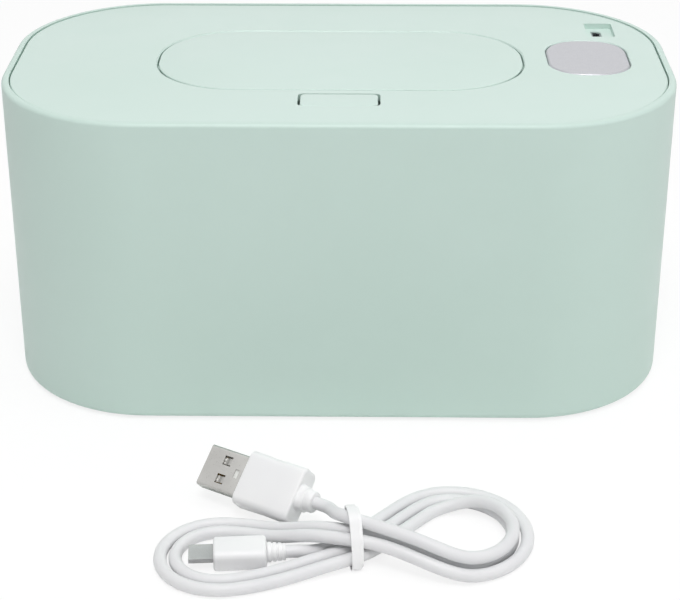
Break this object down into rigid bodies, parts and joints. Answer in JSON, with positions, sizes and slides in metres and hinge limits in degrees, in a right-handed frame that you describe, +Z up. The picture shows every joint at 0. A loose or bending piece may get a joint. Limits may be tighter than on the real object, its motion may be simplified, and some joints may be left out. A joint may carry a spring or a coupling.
{
  "type": "baby wipe warmer",
  "caption": "Portable baby wipe warmer: rounded tub, lift-off heated cover with flip lid, push-button latch, display key and USB lead.",
  "frame": {"origin": "on the surface it stands on, under the middle of the body", "axes": "+X to the right seen from the button side, +Y to the back, +Z up"},
  "size_m": [0.2, 0.2031, 0.0945],
  "materials": {
    "mint_shell": "satin",
    "mint_cover": "satin",
    "white_plastic": "matte",
    "silver_key": "satin",
    "silicone": "matte",
    "foot_rubber": "matte",
    "foam": "foam",
    "heater_film": "amber film",
    "aluminium_plate": "satin",
    "steel": "plain",
    "circuit_board": "solder mask",
    "black_plastic": "matte",
    "cutoff_case": "matte",
    "lead_red": "matte",
    "lead_white": "satin",
    "plug_steel": "nickel plated",
    "contact_gold": "gold plated"
  },
  "bodies": {
    "tub": {"outer_shell": "mint_shell", "rubber_feet": "foot_rubber", "insulation_sleeve": "foam", "floor_insulation": "foam", "inner_tub": "white_plastic", "tub_screws": "steel"},
    "cover": {"top_panel": "mint_cover", "cover_gasket": "silicone", "cover_base": "white_plastic", "heater_insulation": "foam", "heater_film": "heater_film", "heater_plate": "aluminium_plate", "temperature_sensor": "black_plastic", "thermal_cutoff": "cutoff_case", "cover_screws": "steel", "lid_well": "mint_cover", "dispenser_gate": "silicone", "lid_hinge_pin": "steel", "lid_kick_springs": "steel", "button_springs": "steel", "latch_spring": "steel", "main_board": "circuit_board", "digit_display": "black_plastic", "tact_switches": "black_plastic", "board_screws": "steel", "usb_port_board": "circuit_board", "usb_receptacle": "steel", "receptacle_tongue": "black_plastic", "wiring_harness": "lead_red"},
    "lid": {"flip_lid": "mint_cover", "lid_liner": "white_plastic", "lid_gasket": "silicone"},
    "button": {"latch_button": "mint_cover"},
    "bar": {"latch_bar": "white_plastic"},
    "key": {"display_key": "silver_key", "key_carrier": "white_plastic"},
    "usb_cable": {"usb_a_shell": "plug_steel", "usb_a_insert": "white_plastic", "usb_a_contacts": "contact_gold", "usb_a_overmold": "lead_white", "cord_hank": "lead_white", "cable_tie": "white_plastic", "micro_usb_shell": "plug_steel", "micro_usb_insert": "black_plastic", "micro_usb_overmold": "lead_white"}
  },
  "joints": [
    {"name": "cover_lift", "type": "slide", "parent": "tub", "child": "cover", "axis": [0, 0, 1], "range_m": [0, 0.1]},
    {"name": "lid_hinge", "type": "hinge", "parent": "cover", "child": "lid", "pos_m": [0, 0.0311, 0.0903], "axis": [-1, 0, 0], "range_deg": [0, 95]},
    {"name": "button_push", "type": "slide", "parent": "cover", "child": "button", "axis": [0, 0, -1], "range_m": [0, 0.0015], "stiffness_N_per_m": 300, "deforming": ["button_springs", "latch_spring"]},
    {"name": "latch_slide", "type": "slide", "parent": "cover", "child": "bar", "axis": [0, -1, 0], "range_m": [0, 0.0015]},
    {"name": "key_push", "type": "slide", "parent": "cover", "child": "key", "axis": [0, 0, -1], "range_m": [0, 0.0004], "stiffness_N_per_m": 2000},
    {"name": "cable_lift", "type": "slide", "parent": "tub", "child": "usb_cable", "axis": [0, 0, 1], "range_m": [0, 0.05]}
  ],
  "couplings": [
    {"joint": "latch_slide", "follows": "button_push", "ratio": 1}
  ]
}
